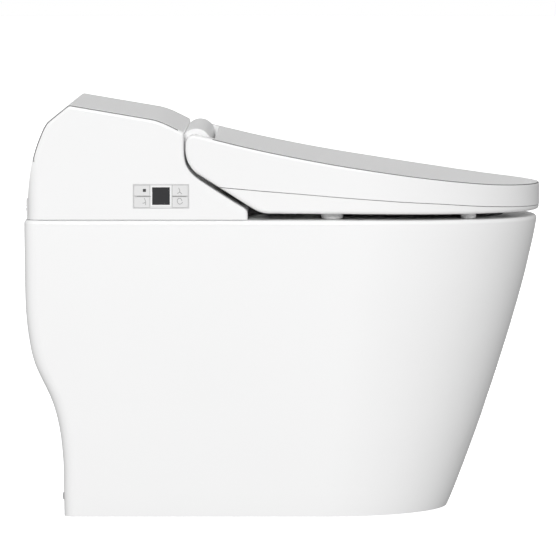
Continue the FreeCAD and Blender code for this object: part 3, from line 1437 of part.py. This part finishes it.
def pan_screws(label, length, spots, rot):
    """A group of pan-head screws; each spot is the point under a head."""
    copies = []
    for i, spot in enumerate(spots):
        head = cyl("%s_head%d" % (label, i), q("screw_head"), 1.8, 0, 0, 0)
        shank = cyl("%s_shank%d" % (label, i), q("screw_radius"), length, 0, 0, 0)
        head.Placement = Placement(Vector(*spot), rot)
        shank.Placement = Placement(Vector(*spot) - rot.multVec(Vector(0, 0, length)), rot)
        copies.append(fuse("%s_%d" % (label, i), head, shank))
    return node(group(label, *copies), label)


pan_screws("chassis_screws", 20, [(x, y, num("deck_z") + ct) for x, y in CHASSIS_SCREWS], Rotation())
pan_screws("cover_screws", 9, COVER_SCREWS, ALONG_Y)

heater_tube = turned(
    "water_heater",
    [
        (0, 0), (6, 0), (6, 8), (q("heater_radius"), 12), (q("heater_radius"), q("heater_len")), (6, q("heater_len") + 4),
        (6, q("heater_len") + 12), (0, q("heater_len") + 12),
    ],
    rot=ALONG_Y,
    at_point=(-150, DY + 190, deck + q("heater_radius") + 1),
)
node(heater_tube, "water_heater")

ps = box("supply_case", 84, 64, 44, -60 - 24, DY + 236, deck)
ps_rooms = [box("supply_fin%d" % k, 3, 70, 6, -78 + 12 * k, DY + 233, deck + 40) for k in range(6)]
node(cut("power_supply", ps, *ps_rooms), "power_supply")
node(box("main_board", 92, 70, q("board_thick"), -180 + 88, DY + 233, deck + 62), "main_board")
posts = []
for i, (x, y) in enumerate(((-81, 242), (-4, 242), (-81, 294), (-4, 294))):
    posts.append(cyl("board_post%d" % i, 3, 18, x, DY + y, deck + 44))
node(group("board_posts", *posts), "board_posts")

# ---------------------------------------------------------------- check and write

doc.recompute()
bad = [o.Label for o in doc.Objects if "Invalid" in o.State or "Error" in o.State]
if bad:
    raise RuntimeError("failed objects: %s" % bad)
for o in NODES:
    if o.Shape.isNull() or not o.Shape.isValid():
        raise RuntimeError("bad shape: " + o.Label)
os.makedirs("parts", exist_ok=True)
for o in NODES:
    o.Shape.exportStep("parts/%s.step" % o.Label)
    bb = o.Shape.BoundBox
    print("%-22s solids %d vol %10.0f  x %.1f..%.1f y %.1f..%.1f z %.1f..%.1f" % (o.Label, len(o.Shape.Solids), o.Shape.Volume, bb.XMin, bb.XMax, bb.YMin, bb.YMax, bb.ZMin, bb.ZMax))
print(len(NODES), "parts written")
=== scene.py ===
import bpy
import bmesh
import json
import math
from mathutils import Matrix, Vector
from mathutils.bvhtree import BVHTree
from mathutils.geometry import convex_hull_2d


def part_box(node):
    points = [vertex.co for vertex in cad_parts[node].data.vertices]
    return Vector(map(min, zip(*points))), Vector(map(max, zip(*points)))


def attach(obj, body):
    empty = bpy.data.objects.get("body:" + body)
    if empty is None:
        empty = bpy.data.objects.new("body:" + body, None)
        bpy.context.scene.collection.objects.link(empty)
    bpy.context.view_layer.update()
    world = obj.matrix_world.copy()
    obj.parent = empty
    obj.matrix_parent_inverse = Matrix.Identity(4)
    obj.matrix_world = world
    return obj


# Floor-standing smart toilet seen from its -X side. Metres, +Z up, front towards -Y.

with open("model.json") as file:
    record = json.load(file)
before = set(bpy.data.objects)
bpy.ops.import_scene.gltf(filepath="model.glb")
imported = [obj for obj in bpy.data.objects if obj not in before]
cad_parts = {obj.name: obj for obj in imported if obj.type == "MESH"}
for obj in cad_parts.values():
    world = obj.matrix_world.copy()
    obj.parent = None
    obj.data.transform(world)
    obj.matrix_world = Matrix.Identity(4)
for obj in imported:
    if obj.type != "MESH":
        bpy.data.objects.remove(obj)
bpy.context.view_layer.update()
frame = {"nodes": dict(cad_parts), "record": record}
nodes = frame["nodes"]
scene = bpy.context.scene

# ---------------------------------------------------------------- camera

cam_data = bpy.data.cameras.new("camera")
cam_data.sensor_width = 36.0
cam_data.lens = 242.87
cam_data.clip_start = 0.1
cam_data.clip_end = 200.0
cam = bpy.data.objects.new("camera", cam_data)
cam.location = (-5.100, 0.01065, 0.7717)
cam.rotation_euler = (math.radians(90.0 - 5.1717), 0.0, math.radians(-90.0))
scene.collection.objects.link(cam)
scene.camera = cam

# ---------------------------------------------------------------- light and floor

scene.view_settings.view_transform = "Standard"
world = bpy.data.worlds.new("world")
scene.world = world
world.use_nodes = True
sky = world.node_tree.nodes["Background"]
sky.inputs["Color"].default_value = (1.0, 1.0, 1.0, 1.0)
sky.inputs["Strength"].default_value = 0.375


def sun(name, strength, azimuth, elevation, angle, glossy=True):
    """A soft light from far away; azimuth 0 stands at -Y and 90 at -X."""
    data = bpy.data.lights.new(name, "SUN")
    data.energy = strength
    data.angle = math.radians(angle)
    o = bpy.data.objects.new(name, data)
    a, e = math.radians(azimuth), math.radians(elevation)
    towards = Vector((-math.sin(a) * math.cos(e), -math.cos(a) * math.cos(e), math.sin(e)))
    o.rotation_mode = "QUATERNION"
    o.rotation_quaternion = towards.to_track_quat("Z", "Y")
    o.visible_glossy = glossy
    scene.collection.objects.link(o)
    return o


sun("key", 2.02, 94, 23, 14)
sun("bounce", 0.17, 90, -20, 20, glossy=False)
sun("far", 2.15, -90, 18, 30, glossy=False)


def stage_mesh(name, verts, faces, mat):
    me = bpy.data.meshes.new(name)
    me.from_pydata(verts, [], faces)
    me.materials.append(mat)
    o = bpy.data.objects.new(name, me)
    scene.collection.objects.link(o)
    o.visible_diffuse = False
    o.visible_glossy = False
    o.visible_transmission = True
    o.visible_shadow = False
    return o


def plain(name):
    m = bpy.data.materials.new(name)
    m.use_nodes = True
    return m, m.node_tree, m.node_tree.nodes["Principled BSDF"]


floor_mat, ft, fb = plain("floor")
fb.inputs["Base Color"].default_value = (0.92, 0.92, 0.92, 1.0)
fb.inputs["Roughness"].default_value = 1.0
fb.inputs["Specular IOR Level"].default_value = 0.0
fb.inputs["Emission Color"].default_value = (1.0, 1.0, 1.0, 1.0)
fb.inputs["Emission Strength"].default_value = 0.62
ring = 96
floor_verts = [(0.0, 0.0, 0.0)] + [(32 * math.cos(2 * math.pi * i / ring), 32 * math.sin(2 * math.pi * i / ring), 0.0) for i in range(ring)]
floor_faces = [(0, i + 1, (i + 1) % ring + 1) for i in range(ring)]
stage_mesh("floor", floor_verts, floor_faces, floor_mat)

back_mat = bpy.data.materials.new("backdrop")
back_mat.use_nodes = True
bt = back_mat.node_tree
bt.nodes.remove(bt.nodes["Principled BSDF"])
glow = bt.nodes.new("ShaderNodeEmission")
glow.inputs["Color"].default_value = (1.0, 1.0, 1.0, 1.0)
glow.inputs["Strength"].default_value = 1.0
bt.links.new(glow.outputs[0], bt.nodes["Material Output"].inputs["Surface"])
dome_verts, dome_faces = [], []
rows, cols = 16, 64
for i in range(rows + 1):
    t = math.radians(-8 + 98 * i / rows)
    for j in range(cols):
        p = 2 * math.pi * j / cols
        dome_verts.append((32 * math.cos(t) * math.cos(p), 32 * math.cos(t) * math.sin(p), 32 * math.sin(t)))
for i in range(rows):
    for j in range(cols):
        k = (j + 1) % cols
        dome_faces.append((i * cols + j, i * cols + k, (i + 1) * cols + k, (i + 1) * cols + j))
stage_mesh("backdrop", dome_verts, dome_faces, back_mat)

# ---------------------------------------------------------------- materials


def surface(name, color, rough, metal=0.0, coat=0.0, coat_rough=0.03, bump=0.0, bump_scale=400.0, rough_var=0.0, var_scale=30.0, tint=0.0, spec=0.5, sss=0.0):
    """A surface with fine grain in its height, roughness and tone."""
    m, t, b = plain(name)
    b.inputs["Base Color"].default_value = (*color, 1.0)
    b.inputs["Roughness"].default_value = rough
    b.inputs["Metallic"].default_value = metal
    b.inputs["Specular IOR Level"].default_value = spec
    b.inputs["Coat Weight"].default_value = coat
    b.inputs["Coat Roughness"].default_value = coat_rough
    if sss:
        b.inputs["Subsurface Weight"].default_value = sss
        b.inputs["Subsurface Radius"].default_value = (0.004, 0.004, 0.004)
    where = t.nodes.new("ShaderNodeTexCoord")
    if bump:
        grain = t.nodes.new("ShaderNodeTexNoise")
        grain.inputs["Scale"].default_value = bump_scale
        grain.inputs["Detail"].default_value = 3.0
        t.links.new(where.outputs["Object"], grain.inputs["Vector"])
        lump = t.nodes.new("ShaderNodeBump")
        lump.inputs["Strength"].default_value = bump
        lump.inputs["Distance"].default_value = 0.0004
        t.links.new(grain.outputs["Fac"], lump.inputs["Height"])
        t.links.new(lump.outputs["Normal"], b.inputs["Normal"])
    if rough_var:
        cloud = t.nodes.new("ShaderNodeTexNoise")
        cloud.inputs["Scale"].default_value = var_scale
        cloud.inputs["Detail"].default_value = 4.0
        t.links.new(where.outputs["Object"], cloud.inputs["Vector"])
        span = t.nodes.new("ShaderNodeMapRange")
        span.inputs["From Min"].default_value = 0.0
        span.inputs["From Max"].default_value = 1.0
        span.inputs["To Min"].default_value = max(rough - rough_var, 0.0)
        span.inputs["To Max"].default_value = rough + rough_var
        t.links.new(cloud.outputs["Fac"], span.inputs["Value"])
        t.links.new(span.outputs["Result"], b.inputs["Roughness"])
    if tint:
        tone = t.nodes.new("ShaderNodeTexNoise")
        tone.inputs["Scale"].default_value = var_scale * 0.6
        tone.inputs["Detail"].default_value = 2.0
        t.links.new(where.outputs["Object"], tone.inputs["Vector"])
        ramp = t.nodes.new("ShaderNodeValToRGB")
        ramp.color_ramp.elements[0].position = 0.1
        ramp.color_ramp.elements[0].color = (*[max(c - tint, 0.0) for c in color], 1.0)
        ramp.color_ramp.elements[1].position = 0.9
        ramp.color_ramp.elements[1].color = (*[min(c + tint, 1.0) for c in color], 1.0)
        t.links.new(tone.outputs["Fac"], ramp.inputs["Fac"])
        t.links.new(ramp.outputs["Color"], b.inputs["Base Color"])
    return m


MATS = {
    "white_ceramic": surface("glazed_white", (0.962, 0.962, 0.962), 0.22, coat=0.35, coat_rough=0.05, bump=0.02, bump_scale=55.0, rough_var=0.03, var_scale=9.0, tint=0.006),
    "white_shell": surface("shell_white", (0.925, 0.925, 0.925), 0.30, coat=0.25, coat_rough=0.12, bump=0.0, bump_scale=420.0, rough_var=0.03, var_scale=14.0, tint=0.004),
    "white_seat": surface("seat_white", (0.925, 0.925, 0.922), 0.32, coat=0.25, coat_rough=0.12, bump=0.015, bump_scale=420.0, rough_var=0.03, var_scale=14.0, tint=0.004),
    "white_inner": surface("inner_white", (0.82, 0.82, 0.82), 0.5, bump=0.08, bump_scale=900.0, rough_var=0.05, tint=0.01),
    "band_grey": surface("band_grey", (0.60, 0.60, 0.60), 0.55, bump=0.12, bump_scale=1500.0, rough_var=0.05, tint=0.012),
    "panel_grey": surface("panel_grey", (0.74, 0.74, 0.74), 0.42, bump=0.05, bump_scale=1800.0, rough_var=0.04, tint=0.006),
    "bezel_white": surface("bezel_white", (0.93, 0.93, 0.93), 0.2, coat=0.3, bump=0.02, bump_scale=1500.0, rough_var=0.03, tint=0.004),
    "display_black": surface("display_dark", (0.028, 0.028, 0.030), 0.16, coat=0.4, coat_rough=0.04, bump=0.01, bump_scale=900.0, rough_var=0.03, tint=0.003),
    "key_white": surface("key_grey", (0.76, 0.76, 0.76), 0.42, bump=0.05, bump_scale=1800.0, rough_var=0.04, tint=0.006),
    "black_plastic": surface("black_plastic", (0.03, 0.03, 0.032), 0.45, bump=0.15, bump_scale=1600.0, rough_var=0.08, tint=0.006),
    "grey_plastic": surface("grey_plastic", (0.30, 0.31, 0.33), 0.5, bump=0.15, bump_scale=1600.0, rough_var=0.08, tint=0.02),
    "clear_rubber": surface("pale_rubber", (0.72, 0.72, 0.72), 0.55, bump=0.1, bump_scale=1200.0, rough_var=0.06, tint=0.015),
    "black_rubber": surface("black_rubber", (0.022, 0.022, 0.022), 0.7, bump=0.3, bump_scale=1800.0, rough_var=0.08, tint=0.005),
    "zinc_steel": surface("zinc_steel", (0.58, 0.59, 0.61), 0.32, metal=1.0, bump=0.1, bump_scale=900.0, rough_var=0.1, tint=0.03),
    "steel": surface("polished_steel", (0.70, 0.70, 0.71), 0.15, metal=1.0, bump=0.03, bump_scale=1200.0, rough_var=0.05, tint=0.01),
    "brass": surface("brass", (0.72, 0.54, 0.26), 0.28, metal=1.0, bump=0.08, bump_scale=900.0, rough_var=0.08, tint=0.03),
    "circuit_green": surface("circuit_green", (0.02, 0.12, 0.05), 0.4, coat=0.2, bump=0.2, bump_scale=700.0, rough_var=0.08, tint=0.015),
    "film_foil": surface("foil", (0.75, 0.75, 0.76), 0.3, metal=1.0, bump=0.25, bump_scale=220.0, rough_var=0.1, tint=0.02),
    "carbon_filter": surface("carbon", (0.03, 0.03, 0.03), 0.8, bump=0.6, bump_scale=900.0, rough_var=0.1, tint=0.012),
    "heater_mica": surface("mica", (0.45, 0.36, 0.22), 0.5, bump=0.25, bump_scale=500.0, rough_var=0.1, tint=0.04),
}
slot_of = {s["node"]: s["material_slot"] for s in frame["record"]["subparts"]}
for name, o in nodes.items():
    o.data.materials.clear()
    o.data.materials.append(MATS[slot_of[name]])
    for p in o.data.polygons:
        p.material_index = 0

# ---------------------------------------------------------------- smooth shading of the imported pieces

for name, o in nodes.items():
    for p in o.data.polygons:
        p.use_smooth = True

# ---------------------------------------------------------------- marks on the control panel

face_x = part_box("key_stop")[0].x
ink = surface("mark_grey", (0.40, 0.40, 0.40), 0.5, bump=0.05, bump_scale=1500.0, rough_var=0.05, tint=0.01)
dark = surface("mark_dark", (0.045, 0.045, 0.045), 0.5, bump=0.05, bump_scale=1500.0, rough_var=0.05, tint=0.004)


def stroke(name, runs, width, mat, body, x=face_x, thick=0.00012):
    """Raised strokes on the panel's face; each run is a list of (Y, Z) in millimetres."""
    bm = bmesh.new()
    for run in runs:
        pts = [Vector((p[0], p[1])) / 1000.0 for p in run]
        # a smooth line through the points
        if len(pts) > 2:
            fine = []
            ext = [pts[0] * 2 - pts[1]] + pts + [pts[-1] * 2 - pts[-2]]
            for i in range(1, len(ext) - 2):
                for k in range(8):
                    t = k / 8.0
                    p0, p1, p2, p3 = ext[i - 1], ext[i], ext[i + 1], ext[i + 2]
                    fine.append(0.5 * ((2 * p1) + (p2 - p0) * t + (2 * p0 - 5 * p1 + 4 * p2 - p3) * t * t + (3 * p1 - p0 - 3 * p2 + p3) * t ** 3))
            fine.append(pts[-1])
            pts = fine
        sides = []
        for i, p in enumerate(pts):
            d = (pts[min(i + 1, len(pts) - 1)] - pts[max(i - 1, 0)]).normalized()
            n = Vector((-d.y, d.x)) * width / 2000.0
            sides.append((p + n, p - n))
        rows = []
        for u, v in sides:
            rows.append([bm.verts.new((x + dx, q.x, q.y)) for q, dx in ((u, 0.00005), (u, -thick), (v, -thick), (v, 0.00005))])
        for r0, r1 in zip(rows, rows[1:]):
            for k in range(4):
                bm.faces.new((r0[k], r0[(k + 1) % 4], r1[(k + 1) % 4], r1[k]))
        bm.faces.new(rows[0])
        bm.faces.new(list(reversed(rows[-1])))
    bmesh.ops.recalc_face_normals(bm, faces=bm.faces)
    me = bpy.data.meshes.new(name)
    bm.to_mesh(me)
    bm.free()
    me.materials.append(mat)
    o = bpy.data.objects.new(name, me)
    scene.collection.objects.link(o)
    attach(o, body)
    return o


stroke("stop_mark", [[(187.9, 442.6), (183.9, 442.6)]], 4.0, dark, "stop_key")
stroke("rear_wash_mark", [[(186.2, 432.6), (184.9, 429.9), (184.3, 427.4), (184.4, 423.2)], [(184.9, 427.2), (186.6, 425.8), (188.4, 425.9)]], 0.85, ink, "rear_wash_key")
stroke("front_wash_mark", [[(141.0, 446.0), (139.9, 443.6), (139.5, 441.8), (140.3, 439.9), (142.8, 438.6)], [(139.7, 441.2), (138.3, 439.4), (136.7, 438.0)]], 0.85, ink, "front_wash_key")
stroke("dryer_mark", [[(136.6, 428.9), (138.2, 431.8), (141.0, 432.0), (142.9, 429.6), (142.3, 426.6), (139.9, 424.6), (137.2, 425.6), (135.8, 427.4)]], 0.85, ink, "dryer_key")
stroke("divider_left", [[(195.9, 434.8), (177.2, 434.8)]], 0.9, ink, "root")
stroke("divider_right", [[(149.8, 434.8), (130.9, 434.8)]], 0.9, ink, "root")

# ---------------------------------------------------------------- painted edge shade: fine dark raised lines along the upper edges, standing in for the shade on the edge rounds

# dark grey for the painted shade along the edge rounds
edge_shade_mat = surface("painted_edge_shade", (0.16, 0.16, 0.16), 0.55, bump=0.05, bump_scale=1500.0, rough_var=0.05, tint=0.01)


def tree_of(node):
    me = nodes[node].data
    return BVHTree.FromPolygons([v.co.copy() for v in me.vertices], [tuple(p.vertices) for p in me.polygons])


def edge_shade_line(name, hits, body, radius=0.00080):
    """A fine raised dark line through (point, normal) pairs that lie on a surface; it paints the shade along an edge
    round.
    """
    bm = bmesh.new()
    rows = []
    for i, (p, n) in enumerate(hits):
        t = (hits[min(i + 1, len(hits) - 1)][0] - hits[max(i - 1, 0)][0]).normalized()
        b = t.cross(n).normalized()
        up = b.cross(t).normalized()
        rows.append([bm.verts.new(p + radius * (math.cos(a) * b + 0.45 * math.sin(a) * up)) for a in [k * math.pi / 4 for k in range(8)]])
    for r0, r1 in zip(rows, rows[1:]):
        for k in range(8):
            bm.faces.new((r0[k], r0[(k + 1) % 8], r1[(k + 1) % 8], r1[k]))
    bm.faces.new(list(reversed(rows[0])))
    bm.faces.new(rows[-1])
    bmesh.ops.recalc_face_normals(bm, faces=bm.faces)
    me = bpy.data.meshes.new(name)
    bm.to_mesh(me)
    bm.free()
    me.materials.append(edge_shade_mat)
    me.shade_smooth()
    o = bpy.data.objects.new(name, me)
    scene.collection.objects.link(o)
    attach(o, body)
    return o


# round the lid's top, a little inside its outline: a painted shade line on the lid's edge round
lid_tree = tree_of("lid_shell")
lid_xy = [Vector((v.co.x, v.co.y)) for v in nodes["lid_shell"].data.vertices]
outline = [lid_xy[i] for i in convex_hull_2d(lid_xy)]
steps = []
for i, p in enumerate(outline):
    q = outline[(i + 1) % len(outline)]
    n = max(1, int((q - p).length / 0.004))
    steps += [p.lerp(q, k / n) for k in range(n)]
lid_run = []
for i, p in enumerate(steps):
    d = steps[(i + 2) % len(steps)] - steps[i - 2]
    side = Vector((-d.y, d.x)).normalized()
    if side.dot(Vector((0.0, -0.05)) - p) < 0:
        side = -side
    q = p + side * 0.0013
    if q.y > 0.100:
        continue
    hit = lid_tree.ray_cast(Vector((q.x, q.y, 0.8)), Vector((0.0, 0.0, -1.0)))
    if hit[0] is not None and hit[0].z > 0.43:
        lid_run.append((hit[0], (Vector((-side.x, -side.y, 0.0)) * 0.64 + Vector((0.0, 0.0, 0.77))).normalized()))
# from one rear end, round the front, to the other
start = max(range(len(lid_run)), key=lambda i: (lid_run[i][0] - lid_run[i - 1][0]).length)
lid_run = lid_run[start:] + lid_run[:start]
edge_shade_line("lid_edge_shade", lid_run, "lid")

# over both upper side edges of the rear housing: painted shade lines on the edge rounds
house_tree = tree_of("rear_housing")
for name, sx in (("housing_seam_left", -1.0), ("housing_seam_right", 1.0)):
    x = sx * (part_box("rear_housing")[1].x - 0.0017)
    run = []
    for k in range(0, 165):
        a = math.radians(k)
        d = Vector((0.0, math.cos(a), math.sin(a)))
        mid = Vector((x, 0.215, 0.440))
        hit = house_tree.ray_cast(mid + d * 0.4, -d)
        if hit[0] is not None and hit[0].z > 0.478 and hit[0].y > 0.141:
            run.append((hit[0], (Vector((sx, 0.0, 0.0)) * 0.64 + Vector((0.0, hit[1].y, hit[1].z)).normalized() * 0.77).normalized()))
    edge_shade_line(name, run, "root")
